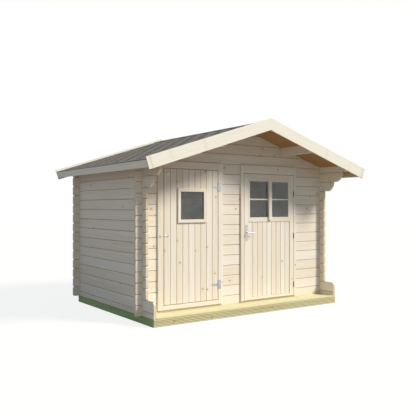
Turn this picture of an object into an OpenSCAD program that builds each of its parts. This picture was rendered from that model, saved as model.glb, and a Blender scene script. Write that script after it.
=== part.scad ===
// Garden tool shed in stacked logs, with a gable roof and two doors in the front.
// X runs across the front, Y from front to back and Z up. The origin is on the
// ground, under the middle of the roof.

/* [Log walls] */
// Width over the outer faces of the side walls
wall_w = 3050; // [2700:10:3900]
// Depth over the outer faces of the front and back walls
wall_d = 1995; // [1500:5:2600]
// Thickness of a log
log_t = 34; // [28:1:44]
// Height that one log row covers
log_h = 135; // [112:1:165]
// Log rows from the bearers to the top of the door casings
door_rows = 14; // [13:1:16]
// Height of the roof boards over those rows, at a side wall's outer face
eave_rise = 12; // [6:1:40]
// Length of the log ends past each corner
corner_out = 90; // [60:1:110]
// Radius of the corners of a log's end
log_end_r = 20; // [8:1:26]
// Depth of the bevel along each edge of a log
log_bevel = 5; // [2:0.5:7]
// Gap between two pieces that lie on each other
fit = 0.5; // [0.3:0.1:0.8]

/* [Corbels and porch] */
// Number of long rows at the top of a side wall
corbel_rows = 3; // [2:1:4]
// Reach of the lowest corbel in front of the front wall
corbel_out = 268; // [200:1:300]
// Extra reach of each next corbel
corbel_step = 164; // [100:1:180]
// Radius of a corbel's curved end over the height of a log row
corbel_more_r = 8; // [4:1:60]
// Reach of the two lowest side rows in front of the front wall
porch_log_out = 280; // [200:1:360]
// Radius of the upper corner of those two rows
porch_log_r = 40; // [20:1:60]
// Depth of the porch in front of the front wall
porch_d = 285; // [205:1:380]
// Thickness of the porch deck
deck_t = 19; // [15:1:28]
// Thickness of the board on the front of the porch
porch_fascia_t = 22; // [15:1:28]
// Height of the board on the front of the porch
porch_fascia_h = 88; // [70:1:90]

/* [Base] */
// Height of the bearers
bearer_h = 92; // [92:1:140]
// Width of a bearer
bearer_w = 70; // [45:1:90]
// Number of bearers
bearer_count = 5; // [3:2:7]
// Thickness of the floor
floor_t = 19; // [16:1:28]
// Gap between the floor and the walls
floor_gap = 4; // [2:1:10]

/* [Roof] */
// Slope of the roof in degrees
roof_pitch = 17.9; // [14:0.1:24]
// Overhang in front of the front wall, to the outside of the barge boards
front_overhang = 601; // [560:1:700]
// Overhang behind the back wall, to the outside of the barge boards
back_overhang = 209; // [130:1:300]
// Overhang at the sides, to the outside of the eave boards
side_overhang = 261; // [160:1:340]
// Thickness of the roof boards
roof_board_t = 19; // [16:1:22]
// Thickness of the shingles
shingle_t = 8; // [5:1:10]
// Height of the barge boards over the shingles
barge_proud = 26; // [5:1:35]
// Width of the barge boards
barge_w = 145; // [120:1:180]
// Thickness of the barge boards
barge_t = 19; // [16:1:28]
// Width of the eave boards
eave_board_w = 86; // [70:1:110]
// Thickness of the eave boards
eave_board_t = 19; // [16:1:28]
// Distance of the purlins from the ridge
purlin_x = 737; // [500:1:800]
// Thickness of the purlins
purlin_t = 45; // [34:1:70]
// Height of the purlins at their middle
purlin_h = 110; // [80:1:120]
// Width of the ridge strip down each slope
ridge_strip_w = 125; // [90:1:160]
// Thickness of the ridge strip
ridge_strip_t = 4; // [3:0.5:6]

/* [Both doors] */
// Thickness of the casings in front of the logs
casing_t = 24; // [22:1:28]
// Gap round a closed door
door_gap = 6; // [6:0.5:8]
// Overlap of the stop behind a door's edge
stop_w = 12; // [8:1:16]
// Thickness of the door jambs
jamb_t = 40; // [34:1:45]
// Thickness of the sill under each door
sill_t = 24; // [20:1:30]
// Depth of the jambs past the inner face of the logs
jamb_in = 8; // [2:1:20]
// Height of the casings' lower end over the bearers
casing_low = 44; // [40:1:60]
// Radius of the hinge barrels
barrel_r = 5.5; // [5:0.25:7]
// Radius of the hinge pins
pin_r = 2.5; // [2:0.25:3]
// Clearance of a hinge pin in its bore
pin_fit = 0.3; // [0.2:0.05:0.4]
// Gap between two hinge knuckles
knuckle_gap = 0.6; // [0.4:0.1:1]
// Thickness of the hinge plates
plate_t = 2.5; // [2:0.1:4]
// Radius of the round caps on the doors
cap_r = 20; // [14:1:26]
// Thickness of the round caps on the doors
cap_t = 11; // [6:1:16]
// Distance of a cap's middle from the door's free edge and top
cap_in = 54; // [40:1:80]
// Extra distance of the left door's cap from the top of its door
left_cap_drop = 8; // [0:1:20]
// Thickness of the hook's and its peg's small plates
small_plate_t = 2; // [1:0.5:3]

/* [Left door] */
// Distance of the left door's middle from the ridge line
left_x = -826; // [-900:1:-700]
// Width of the left door
left_w = 818; // [700:1:860]
// Height of the casing over the left door
left_head = 96; // [80:1:130]
// Height of the casing under the left door
left_foot = 61; // [50:1:90]
// Width of the casing beside the left door
left_side = 85; // [70:1:95]
// Thickness of the left door's boards
left_t = 19; // [16:1:21]
// Thickness of the ledges behind the boards
ledge_t = 19; // [16:1:22]
// Width of the ledges
ledge_w = 95; // [70:1:120]
// Clearance of the ledges from the jambs
ledge_gap = 8; // [6:1:20]
// Width and height of the window's glass that shows
window_w = 350; // [260:1:420]
// Distance of the window's middle from the top of the door
window_down = 459; // [380:1:600]
// Width of the window's trim
window_trim_w = 41; // [30:1:55]
// Thickness of the window's trim
window_trim_t = 20; // [12:1:24]
// Overlap of the trim over each edge of the glass
window_lap = 8; // [5:1:12]
// Thickness of the glass
glass_t = 4; // [3:0.5:5]
// Height of a T-hinge's plate
tee_plate_h = 117; // [80:1:150]
// Width of a T-hinge's plate
tee_plate_w = 44; // [30:1:50]
// Length of a T-hinge's strap
strap_l = 100; // [70:1:200]
// Width of the strap at its narrow end
strap_end_w = 20; // [14:1:30]
// Length of the strap's pointed tip
strap_tip = 6; // [4:1:10]
// Distance of the upper T-hinge from the top of the door
tee_down = 215; // [150:1:400]
// Distance of the lower T-hinge from the bottom of the door
tee_up = 195; // [150:1:400]
// Distance of the hook from the top of the door
hook_down = 829; // [750:1:950]
// Distance of the hook's pivot from the door's free edge
hook_in = 55; // [40:1:80]
// Distance of the hook's peg from the door's free edge
peg_out = 55; // [40:1:60]
// Radius of the hook's wire
hook_r = 2.5; // [2:0.25:4]
// Radius of the hook's pivot and peg
peg_r = 3; // [2.5:0.25:4]
// Distance of the hook's wire in front of the door
hook_off = 9; // [8:0.5:14]
// Length of the hook's bent end
hook_tip_l = 14; // [10:1:20]
// Radius of the eye round the hook's pivot
hook_eye_r = 8; // [7:0.5:10]
// Radius of the pivot's round plate
hook_plate_r = 9; // [8:0.5:12]
// Radius of the pivot's head
hook_head_r = 6; // [5:0.5:8]
// Gap between the peg and the hook over and beside it
peg_gap = 0.4; // [0.3:0.1:1]
// Width of the peg's plate
keeper_w = 28; // [20:1:36]
// Height of the peg's plate
keeper_h = 36; // [26:1:50]

/* [Right door] */
// Distance of the right door's middle from the ridge line
right_x = 478.5; // [400:0.5:600]
// Width of the right door
right_w = 905; // [780:1:940]
// Height of the casing over the right door
right_head = 118; // [90:1:140]
// Width of the casing beside the right door
right_side = 55; // [46:1:85]
// Thickness of the right door
right_t = 34; // [30:1:40]
// Width of the frame beside the glass
glass_stile = 98; // [80:1:120]
// Width of the frame beside the panel
panel_stile = 71; // [60:1:80]
// Height of the frame over the glass
top_rail = 100; // [80:1:130]
// Height of the glass
glass_h = 497; // [350:1:620]
// Height of the rail between the glass and the panel
mid_rail = 63; // [50:1:90]
// Height of the rail under the panel
bottom_rail = 36; // [30:1:120]
// Depth of the panel and glass behind the frame's face
panel_in = 8; // [4:1:12]
// Thickness of the panel
panel_t = 16; // [12:1:18]
// Width of the upright bar in front of the glass
bar_w = 50; // [30:1:60]
// Height of the upright bar's front over the frame's face
bar_proud = 22; // [10:1:30]
// Overlap of the upright bar over the rails
bar_lap = 36; // [20:1:45]
// Height of the level bar in front of the glass
level_bar_h = 18; // [12:1:30]
// Depth of the level bar's front behind the frame's face
level_bar_in = 2; // [0:0.5:6]
// Depth of the glass behind the panel's face
glass_in = 4; // [2:0.5:6]
// Height of a barrel hinge
butt_h = 75; // [60:1:100]
// Width of a barrel hinge's hidden plates
butt_w = 28; // [20:1:30]
// Thickness of a barrel hinge's hidden plates
butt_t = 2; // [1.5:0.1:2.4]
// Depth of the tabs that join a barrel to its hidden plates
butt_tab = 4; // [3:0.5:6]
// Distance of the hinge pin's end under the top of its barrel
pin_down = 2; // [1.5:0.5:4]
// Distance of the upper hinge from the top of the door
butt_down = 267; // [150:1:300]
// Distance of the middle hinge from the top of the door
butt_mid = 869; // [700:1:1000]
// Distance of the lower hinge from the bottom of the door
butt_up = 156; // [120:1:260]
// Distance of the handle's spindle from the top of the door
handle_down = 804; // [700:1:900]
// Distance of the handle's spindle from the door's free edge
handle_in = 38; // [34:1:55]
// Height of the handle's plate
handle_plate_h = 220; // [160:1:260]
// Width of the handle's plate
handle_plate_w = 44; // [34:1:60]
// Thickness of the handle's plate
handle_plate_t = 3; // [2:0.5:5]
// Radius of the corners of the handle's plate
handle_plate_r = 10; // [2:1:14]
// Radius of the handle's spindle
spindle_r = 4; // [3:0.25:5]
// Gap round the spindle inside the door
spindle_gap = 2; // [1:0.5:4]
// Radius of the lever
lever_r = 8; // [6:0.5:10]
// Radius of the lever's neck
neck_r = 9; // [7:0.5:12]
// Length of the spindle inside each neck
spindle_in = 5; // [3:1:10]
// Length of the lever
lever_l = 100; // [80:1:130]
// Distance of the lever in front of its plate
lever_off = 42; // [32:1:60]

/* [Hidden] */
$fn = 32;

// How far a cut runs past the face that it goes through
over = 1;

// Walls
side_x = wall_w / 2;
roof_l = wall_d + front_overhang + back_overhang;
front_y = front_overhang - roof_l / 2;
back_y = front_y + wall_d;
base_z = bearer_h;
head_z = base_z + door_rows * log_h;
wall_top = head_z + eave_rise;
quarter = log_h / 4;
peak_rows = ceil((eave_rise + side_x * tan(roof_pitch)) / log_h);

// Roof, with depths measured square to the slope from the underside of the boards
apex_z = wall_top + side_x * tan(roof_pitch);
slope_l = (side_x + side_overhang) / cos(roof_pitch);
shingle_top = roof_board_t + shingle_t;
barge_top = shingle_top + barge_proud;
front_end = -roof_l / 2;
back_end = roof_l / 2;
purlin_low = apex_z - purlin_x * tan(roof_pitch) - purlin_h;

// Doors
casing_y = front_y - casing_t;
axis_y = casing_y - barrel_r;
left_low = base_z + casing_low + left_foot;
left_top = head_z - left_head;
left_edge = left_x - left_w / 2;
left_axis = left_x + left_w / 2 + door_gap / 2;
tee_heights = [left_low + tee_up, left_top - tee_down];
window_z = left_top - window_down;
window_hole = window_w + 2 * window_lap;
right_low = base_z + casing_low;
right_top = head_z - right_head;
right_edge = right_x - right_w / 2;
right_axis = right_x + right_w / 2 + door_gap / 2;
glass_top = right_top - top_rail;
glass_low = glass_top - glass_h;
panel_top = glass_low - mid_rail;
panel_low = right_low + bottom_rail;
butt_heights = [right_low + butt_up, right_top - butt_mid, right_top - butt_down];
glass_y = casing_y + panel_in + glass_in;
handle_x = right_edge + handle_in;
handle_z = right_top - handle_down;

// Cabin hook
hook_z = left_top - hook_down;
hook_y = casing_y - hook_off;
hook_front = hook_y - hook_r;
hook_pivot_x = left_edge + hook_in;
peg_x = left_edge - peg_out;
peg_z = hook_z - hook_r - peg_r - peg_gap;

// Colours
wood = "#EDE0C8";
pale_wood = "#F1EBDD";
soffit_wood = "#C9A878";
deck_wood = "#E2D9A2";
green_wood = "#5C7F4E";
shingle_grey = "#6B6764";
glass_grey = [0.45, 0.48, 0.48, 0.5];
zinc = "#B9BABA";
dark_metal = "#5A5A58";
white = "#F2F2EE";

// ---- Shapes -------------------------------------------------------------

// A box given by its lowest and highest corner
module block(low, high) {
    translate(low)
        cube(high - low);
}

// Points of a quarter circle at a corner, from one angle to the next
function corner(at, r, from) =
    r == 0 ? [at] : [for (step = [0:4]) at + r * [cos(from + step * 22.5), sin(from + step * 22.5)]];

// Outline of a bar from u0 to u1 and v0 to v1, with its own radius at each corner
module bar_outline(u0, u1, v0, v1, r) {
    polygon(concat(
        corner([u1 - r[0], v0 + r[0]], r[0], -90),
        corner([u1 - r[1], v1 - r[1]], r[1], 0),
        corner([u0 + r[2], v1 - r[2]], r[2], 90),
        corner([u0 + r[3], v0 + r[3]], r[3], 180)));
}

// Cross-section of a log, with a bevel on each edge
module log_section(v0, v1) {
    b = log_bevel;
    polygon([[b, v0], [log_t - b, v0], [log_t, v0 + b], [log_t, v1 - b],
        [log_t - b, v1], [b, v1], [0, v1 - b], [0, v0 + b]]);
}

// Turns an outline in X and Z into a board from y0 to y1
module board_y(y0, y1) {
    translate([0, y1, 0])
        rotate([90, 0, 0])
            linear_extrude(y1 - y0)
                children();
}

// Turns an outline in Y and Z into a board from x0 to x1
module board_x(x0, x1) {
    translate([x0, 0, 0])
        rotate([90, 0, 90])
            linear_extrude(x1 - x0)
                children();
}

// Everything under the roof boards
module under_roof() {
    low = base_z - over;
    far = side_x + corner_out + over;
    drop = far * tan(roof_pitch);
    board_y(front_end, back_end)
        polygon([[-far, low], [far, low], [far, apex_z - fit - drop],
            [0, apex_z - fit], [-far, apex_z - fit - drop]]);
}

// ---- Log walls ----------------------------------------------------------

// A log across the shed, with the front of the log at y
module cross_log(x0, x1, y, z0, z1, r) {
    intersection() {
        board_x(x0, x1)
            translate([y, 0])
                log_section(z0 + fit / 2, z1 - fit / 2);
        board_y(y, y + log_t)
            bar_outline(x0, x1, z0 + fit / 2, z1 - fit / 2, r);
    }
}

// A log along the side of the shed, with the left of the log at x
module side_log(x, y0, y1, z0, z1, r) {
    intersection() {
        board_y(y0, y1)
            translate([x, 0])
                log_section(z0 + fit / 2, z1 - fit / 2);
        board_x(x, x + log_t)
            bar_outline(y0, y1, z0 + fit / 2, z1 - fit / 2, r);
    }
}

// Notches in the cross logs of row k, where the side logs of both walls pass
module cross_notches(y, k) {
    z = base_z + k * log_h;
    for (x = [-side_x, side_x - log_t]) {
        block([x - fit, y - over, z - over],
            [x + log_t + fit, y + log_t + over, z + quarter + fit / 2]);
        block([x - fit, y - over, z + log_h - quarter - fit / 2],
            [x + log_t + fit, y + log_t + over, z + log_h + over]);
    }
}

// A whole log of the front or back wall
module whole_cross_log(y, k) {
    end_x = side_x + corner_out;
    r = log_end_r;
    z = base_z + k * log_h;
    difference() {
        cross_log(-end_x, end_x, y, z, z + log_h, [r, r, r, r]);
        cross_notches(y, k);
    }
}

// Reach of side row j in front of the front wall
function side_reach(j) =
    j <= 1 ? porch_log_out
    : j < door_rows - corbel_rows + 1 ? corner_out
    : min(corbel_out + (j - door_rows + corbel_rows - 1) * corbel_step,
        front_overhang - barge_t - fit);

// Radii of the ends of side row j: lower back, upper back, upper front, lower front
function side_radii(j) =
    j == 0 ? [0, log_end_r, 0, 0]
    : j == 1 ? [log_end_r, log_end_r, porch_log_r, 0]
    : j < door_rows - corbel_rows + 1 ? [log_end_r, log_end_r, log_end_r, log_end_r]
    : [log_end_r, j == door_rows ? 0 : log_end_r, 0, 0];

// What the curved end of a corbel leaves of side row j
module corbel_curve(x, j) {
    r = log_h + corbel_more_r;
    tip = front_y - side_reach(j);
    top = base_z + (j + 0.5) * log_h;
    block([x - over, tip + r, top - r - over], [x + log_t + over, back_end, top + over]);
    translate([x - over, tip + r, top])
        rotate([0, 90, 0])
            cylinder(r = r, h = log_t + 2 * over, $fn = 64);
}

// A side wall: half a log, the whole rows and a top row cut to the roof
module side_wall(x) {
    for (j = [0:door_rows]) {
        z0 = base_z + (j == 0 ? 0 : (j - 0.5) * log_h);
        z1 = base_z + (j + 0.5) * log_h;
        intersection() {
            difference() {
                side_log(x, front_y - side_reach(j), back_y + corner_out, z0, z1, side_radii(j));
                side_notches(x, j);
            }
            if (j > door_rows - corbel_rows)
                corbel_curve(x, j);
            under_roof();
        }
    }
}

// Notches in side row j, where the logs of the front and back walls pass
module side_notches(x, j) {
    z = base_z + j * log_h;
    for (y = [front_y, back_y - log_t]) {
        block([x - over, y - fit, z - 3 * quarter - fit / 2],
            [x + log_t + over, y + log_t + fit, z - quarter + fit / 2]);
        if (j < door_rows)
            block([x - over, y - fit, z + quarter - fit / 2],
                [x + log_t + over, y + log_t + fit, z + 3 * quarter + fit / 2]);
    }
}

module left_wall() {
    color(wood)
        side_wall(-side_x);
}

module right_wall() {
    color(wood)
        side_wall(side_x - log_t);
}

// Logs over the door casings, cut to the roof and round the purlins
module gable(y) {
    inner_x = side_x - log_t - fit;
    for (k = [door_rows:door_rows + peak_rows - 1]) {
        z = base_z + k * log_h;
        difference() {
            intersection() {
                cross_log(-inner_x, inner_x, y, z, z + log_h, [0, 0, 0, 0]);
                under_roof();
            }
            for (x = [-purlin_x, purlin_x])
                block([x - purlin_t / 2 - fit, y - over, purlin_low - fit],
                    [x + purlin_t / 2 + fit, y + log_t + over, apex_z]);
        }
    }
}

module back_wall() {
    color(wood)
        for (k = [0:door_rows - 1])
            intersection() {
                whole_cross_log(back_y - log_t, k);
                under_roof();
            }
}

module back_gable() {
    color(wood)
        gable(back_y - log_t);
}

module front_gable() {
    color(wood)
        gable(front_y);
}

// The hole for a door's jambs, through the front logs
module door_hole(x, w, low, top) {
    out = w / 2 - stop_w + jamb_t + fit;
    block([x - out, front_y - over, low + stop_w - sill_t - fit],
        [x + out, front_y + log_t + over, top - stop_w + jamb_t + fit]);
}

module door_holes() {
    door_hole(left_x, left_w, left_low, left_top);
    door_hole(right_x, right_w, right_low, right_top);
}

// The lowest front log, which runs under both doors
module front_sill_log() {
    color(wood)
        difference() {
            whole_cross_log(front_y, 0);
            door_holes();
        }
}

// The front log that runs over both doors
module front_head_log() {
    color(wood)
        intersection() {
            difference() {
                whole_cross_log(front_y, door_rows - 1);
                door_holes();
            }
            under_roof();
        }
}

// Front logs beside the doors, from x0 to x1
module front_logs(x0, x1) {
    r0 = x0 < -side_x ? log_end_r : 0;
    r1 = x1 > side_x ? log_end_r : 0;
    for (k = [1:door_rows - 2]) {
        z = base_z + k * log_h;
        difference() {
            cross_log(x0, x1, front_y, z, z + log_h, [r1, r1, r0, r0]);
            cross_notches(front_y, k);
        }
    }
}

module front_wall_left() {
    color(wood)
        front_logs(-side_x - corner_out, left_x - left_w / 2 + stop_w - jamb_t - fit);
}

module front_wall_middle() {
    color(wood)
        front_logs(left_x + left_w / 2 - stop_w + jamb_t + fit,
            right_x - right_w / 2 + stop_w - jamb_t - fit);
}

module front_wall_right() {
    color(wood)
        front_logs(right_x + right_w / 2 - stop_w + jamb_t + fit, side_x + corner_out);
}

// ---- Base and porch -----------------------------------------------------

module base_bearers() {
    color(green_wood)
        for (i = [0:bearer_count - 1]) {
            x = -side_x + i * (wall_w - bearer_w) / (bearer_count - 1);
            block([x, front_y - porch_d + porch_fascia_t, 0], [x + bearer_w, back_y, base_z]);
        }
}

module floor_boards() {
    inset = log_t + floor_gap;
    color(soffit_wood)
        block([-side_x + inset, front_y + inset, base_z],
            [side_x - inset, back_y - inset, base_z + floor_t]);
}

module porch_deck() {
    inset = log_t + floor_gap;
    color(deck_wood)
        block([-side_x + inset, front_y - porch_d, base_z],
            [side_x - inset, front_y - floor_gap, base_z + deck_t]);
}

module porch_fascia() {
    color(deck_wood)
        block([-side_x, front_y - porch_d, base_z - porch_fascia_h],
            [side_x, front_y - porch_d + porch_fascia_t, base_z]);
}

// ---- Roof ---------------------------------------------------------------

// Place in X and Z of a point on the right slope: distance down it and depth over it
function on_slope(down, depth) = [down * cos(roof_pitch) + depth * sin(roof_pitch),
    apex_z - down * sin(roof_pitch) + depth * cos(roof_pitch)];

// Place in X and Z of a layer's mitre at the ridge
function at_ridge(depth) =
    [fit / 2, apex_z + depth / cos(roof_pitch) - fit / 2 * tan(roof_pitch)];

// A layer of the right slope between two depths, down to the distance given
module right_layer(low, high, down, y0, y1) {
    board_y(y0, y1)
        polygon([at_ridge(low), on_slope(down, low), on_slope(down, high), at_ridge(high)]);
}

module to_left() {
    mirror([1, 0, 0])
        children();
}

module roof_purlins() {
    color(soffit_wood)
        for (x = [-purlin_x, purlin_x])
            intersection() {
                block([x - purlin_t / 2, front_end + barge_t, purlin_low],
                    [x + purlin_t / 2, back_end - barge_t, apex_z]);
                under_roof();
            }
}

module roof_slab() {
    right_layer(0, roof_board_t, slope_l - eave_board_t - fit,
        front_end + barge_t, back_end - barge_t);
}

module roof_boards_right() {
    color(soffit_wood)
        roof_slab();
}

module roof_boards_left() {
    color(soffit_wood)
        to_left()
            roof_slab();
}

module shingle_slab() {
    right_layer(roof_board_t + fit, shingle_top, slope_l, front_end + barge_t, back_end - barge_t);
}

module shingles_right() {
    color(shingle_grey)
        shingle_slab();
}

module shingles_left() {
    color(shingle_grey)
        to_left()
            shingle_slab();
}

// One bent strip over the ridge
module ridge_strip() {
    low = shingle_top + fit;
    high = low + ridge_strip_t;
    low_end = on_slope(ridge_strip_w, low);
    high_end = on_slope(ridge_strip_w, high);
    color(shingle_grey)
        board_y(front_end + barge_t, back_end - barge_t)
            polygon([[0, apex_z + low / cos(roof_pitch)], low_end, high_end,
                [0, apex_z + high / cos(roof_pitch)],
                [-high_end[0], high_end[1]], [-low_end[0], low_end[1]]]);
}

module barge_pair(y0) {
    right_layer(barge_top - barge_w, barge_top, slope_l, y0, y0 + barge_t);
    to_left()
        right_layer(barge_top - barge_w, barge_top, slope_l, y0, y0 + barge_t);
}

module front_barge_boards() {
    color(pale_wood)
        barge_pair(front_end);
}

module back_barge_boards() {
    color(pale_wood)
        barge_pair(back_end - barge_t);
}

module eave_board() {
    low = roof_board_t - eave_board_w;
    start = slope_l - eave_board_t;
    board_y(front_end + barge_t, back_end - barge_t)
        polygon([on_slope(start, low), on_slope(slope_l, low),
            on_slope(slope_l, roof_board_t), on_slope(start, roof_board_t)]);
}

module eave_board_right() {
    color(pale_wood)
        eave_board();
}

module eave_board_left() {
    color(pale_wood)
        to_left()
            eave_board();
}

// ---- Door casings -------------------------------------------------------

// Boards round a door in front of the logs, and jambs with stops through them.
// side, head and foot are the widths of the casing from the door's edge outwards.
module casing(x, w, low, top, t, side, head, foot) {
    half = w / 2;
    stop_y = casing_y + t + door_gap;
    in_y = front_y + log_t + jamb_in;
    jamb_out = half - stop_w + jamb_t;
    difference() {
        union() {
            block([x - half - side, casing_y, low - foot], [x + half + side, front_y, top + head]);
            block([x - jamb_out, front_y, low + stop_w - sill_t],
                [x + jamb_out, in_y, top - stop_w + jamb_t]);
        }
        block([x - half - door_gap, casing_y - over, low - door_gap],
            [x + half + door_gap, stop_y, top + door_gap]);
        block([x - half + stop_w, front_y - over, low + stop_w],
            [x + half - stop_w, in_y + over, top - stop_w]);
    }
}

module left_door_casing() {
    color(wood)
        casing(left_x, left_w, left_low, left_top, left_t, left_side, left_head, left_foot);
}

module right_door_casing() {
    color(wood)
        difference() {
            casing(right_x, right_w, right_low, right_top, right_t, right_side, right_head, door_gap);
            for (z = butt_heights)
                butt_pocket(z);
        }
}

// ---- Hinges -------------------------------------------------------------

// One knuckle on a door's axis
module knuckle(x, z0, z1) {
    translate([x, axis_y, z0])
        cylinder(r = barrel_r, h = z1 - z0);
}

// A pin, or with the clearance given the bore for it
module pin(x, z0, z1, gap = 0) {
    translate([x, axis_y, z0])
        cylinder(r = pin_r + gap, h = z1 - z0);
}

// Casing side of a T-hinge: a plate, the outer knuckles and the pin
module tee_plate(z) {
    low = z - tee_plate_h / 2;
    third = tee_plate_h / 3;
    block([left_axis + barrel_r + fit, casing_y - plate_t, low],
        [left_axis + tee_plate_w, casing_y, low + tee_plate_h]);
    for (start = [low, low + 2 * third]) {
        knuckle(left_axis, start, start + third);
        block([left_axis, casing_y - plate_t, start],
            [left_axis + tee_plate_w, casing_y, start + third]);
    }
    pin(left_axis, low, low + tee_plate_h);
}

// Door side of a T-hinge: a tapered strap and the middle knuckle
module tee_strap(z) {
    third = tee_plate_h / 3;
    low = z - third / 2 + knuckle_gap;
    high = z + third / 2 - knuckle_gap;
    far = left_axis - door_gap / 2 - strap_l;
    wide = strap_end_w / 2;
    narrow = strap_end_w / 4;
    difference() {
        union() {
            knuckle(left_axis, low, high);
            board_y(casing_y - plate_t, casing_y)
                polygon([[left_axis, low], [left_axis, high], [far, z + wide],
                    [far - strap_tip, z + narrow], [far - strap_tip, z - narrow], [far, z - wide]]);
        }
        pin(left_axis, low - over, high + over, pin_fit);
    }
}

module left_hinge_plates() {
    color(zinc)
        for (z = tee_heights)
            tee_plate(z);
}

module left_hinge_straps() {
    color(zinc)
        for (z = tee_heights)
            tee_strap(z);
}

// Room in the jamb for a barrel hinge's plate
module butt_pocket(z) {
    block([right_axis + door_gap / 2 - over, casing_y - over, z - butt_h / 2 - fit],
        [right_axis + door_gap / 2 + fit, casing_y + butt_w + fit, z + butt_h / 2 + fit]);
}

// Casing side of a barrel hinge: plate, lower knuckle and pin
module butt_plate(z) {
    low = z - butt_h / 2;
    outer = right_axis + door_gap / 2 + fit;
    block([outer - butt_t, casing_y + fit, low], [outer, casing_y + butt_w, low + butt_h]);
    block([right_axis, axis_y, low], [outer, casing_y + butt_tab, z - knuckle_gap / 2]);
    knuckle(right_axis, low, z - knuckle_gap / 2);
    pin(right_axis, low, low + butt_h - pin_down);
}

// Door side of a barrel hinge: plate and upper knuckle
module butt_leaf(z) {
    high = z + butt_h / 2;
    inner = right_axis - door_gap / 2;
    difference() {
        union() {
            block([inner, casing_y + fit, z - butt_h / 2], [inner + butt_t, casing_y + butt_w, high]);
            block([inner, axis_y, z + knuckle_gap / 2], [inner + butt_t, casing_y + butt_tab, high]);
            knuckle(right_axis, z + knuckle_gap / 2, high);
        }
        pin(right_axis, z - over, high - pin_down + fit, pin_fit);
    }
}

module right_hinge_plates() {
    color(dark_metal)
        for (z = butt_heights)
            butt_plate(z);
}

module right_hinge_leaves() {
    color(dark_metal)
        for (z = butt_heights)
            butt_leaf(z);
}

// ---- Left door ----------------------------------------------------------

// A square round the window's middle, as a board from y0 to y1
module window_square(w, y0, y1) {
    block([left_x - w / 2, y0, window_z - w / 2], [left_x + w / 2, y1, window_z + w / 2]);
}

module left_door_boards() {
    color(wood)
        difference() {
            block([left_edge, casing_y, left_low], [left_edge + left_w, casing_y + left_t, left_top]);
            window_square(window_hole, casing_y - over, casing_y + left_t + over);
        }
}

module left_door_ledges() {
    inset = stop_w + ledge_gap;
    y0 = casing_y + left_t;
    x0 = left_edge + inset;
    x1 = left_edge + left_w - inset;
    bottom = left_low + inset + ledge_w / 2;
    middle = window_z - window_hole / 2 - window_trim_w - ledge_w;
    top = left_top - inset - ledge_w / 2;
    color(wood) {
        for (z = [bottom, middle, top])
            block([x0, y0, z - ledge_w / 2], [x1, y0 + ledge_t, z + ledge_w / 2]);
        board_y(y0, y0 + ledge_t)
            polygon([[x1 - ledge_w, bottom], [x1, bottom], [x0 + ledge_w, middle], [x0, middle]]);
    }
}

// Trim in front of the boards, and the bead and trim behind the glass
module left_window_trim() {
    outer = window_w + 2 * window_trim_w;
    back_y0 = casing_y + left_t;
    color(pale_wood) {
        difference() {
            window_square(outer, casing_y - window_trim_t, casing_y);
            window_square(window_w, casing_y - window_trim_t - over, casing_y + over);
        }
        difference() {
            union() {
                window_square(window_hole - 2 * fit, casing_y + glass_t + fit, back_y0);
                window_square(outer, back_y0, back_y0 + ledge_t / 2);
            }
            window_square(window_w, casing_y, back_y0 + ledge_t);
        }
    }
}

module left_window_glass() {
    color(glass_grey)
        window_square(window_hole - 2 * fit, casing_y, casing_y + glass_t);
}

// A round cap with a domed face
module cap(x, z) {
    rim = cap_t / 2;
    translate([x, casing_y, z])
        rotate([90, 0, 0])
            rotate_extrude()
                polygon(concat([[0, 0], [cap_r, 0]],
                    [for (a = [0:15:90]) [cap_r - rim + rim * cos(a), cap_t - rim + rim * sin(a)]],
                    [[0, cap_t]]));
}

module left_door_cap() {
    color(white)
        cap(left_edge + cap_in, left_top - cap_in - left_cap_drop);
}

// ---- Cabin hook ---------------------------------------------------------

// A round bar along Y from y0 to y1
module rod_y(x, z, r, y0, y1) {
    translate([x, y1, z])
        rotate([90, 0, 0])
            cylinder(r = r, h = y1 - y0);
}

module hook_pivot() {
    color(zinc) {
        rod_y(hook_pivot_x, hook_z, hook_plate_r, casing_y - small_plate_t, casing_y);
        rod_y(hook_pivot_x, hook_z, peg_r, hook_front - fit, casing_y);
        rod_y(hook_pivot_x, hook_z, hook_head_r, hook_front - fit - small_plate_t, hook_front - fit);
    }
}

module hook_keeper() {
    color(zinc) {
        block([peg_x - keeper_w / 2, casing_y - small_plate_t, peg_z - keeper_h / 2],
            [peg_x + keeper_w / 2, casing_y, peg_z + keeper_h / 2]);
        rod_y(peg_x, peg_z, peg_r, hook_front, casing_y);
    }
}

module cabin_hook() {
    tip_x = peg_x - peg_r - 2 * hook_r;
    wire_l = hook_pivot_x - peg_r - hook_r - tip_x;
    color(zinc)
        difference() {
            union() {
                rod_y(hook_pivot_x, hook_z, hook_eye_r, hook_front, hook_y + hook_r);
                translate([tip_x, hook_y, hook_z])
                    rotate([0, 90, 0])
                        cylinder(r = hook_r, h = wire_l);
                translate([tip_x, hook_y, hook_z])
                    sphere(r = hook_r);
                translate([tip_x, hook_y, hook_z - hook_tip_l])
                    cylinder(r = hook_r, h = hook_tip_l);
            }
            rod_y(hook_pivot_x, hook_z, peg_r + pin_fit, hook_front - over, casing_y);
        }
}

// ---- Right door ---------------------------------------------------------

module right_door_frame() {
    x0 = right_edge;
    x1 = right_edge + right_w;
    color(wood)
        difference() {
            block([x0, casing_y, right_low], [x1, casing_y + right_t, right_top]);
            block([x0 + glass_stile, casing_y - over, glass_low],
                [x1 - glass_stile, casing_y + right_t + over, glass_top]);
            block([x0 + panel_stile, casing_y - over, panel_low],
                [x1 - panel_stile, casing_y + right_t + over, panel_top]);
            rod_y(handle_x, handle_z, spindle_r + spindle_gap,
                casing_y - over, casing_y + right_t + over);
        }
}

module right_door_panel() {
    x0 = right_edge + panel_stile + fit;
    x1 = right_edge + right_w - panel_stile - fit;
    color(wood)
        block([x0, casing_y + panel_in, panel_low + fit],
            [x1, casing_y + panel_in + panel_t, panel_top - fit]);
}

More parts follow.
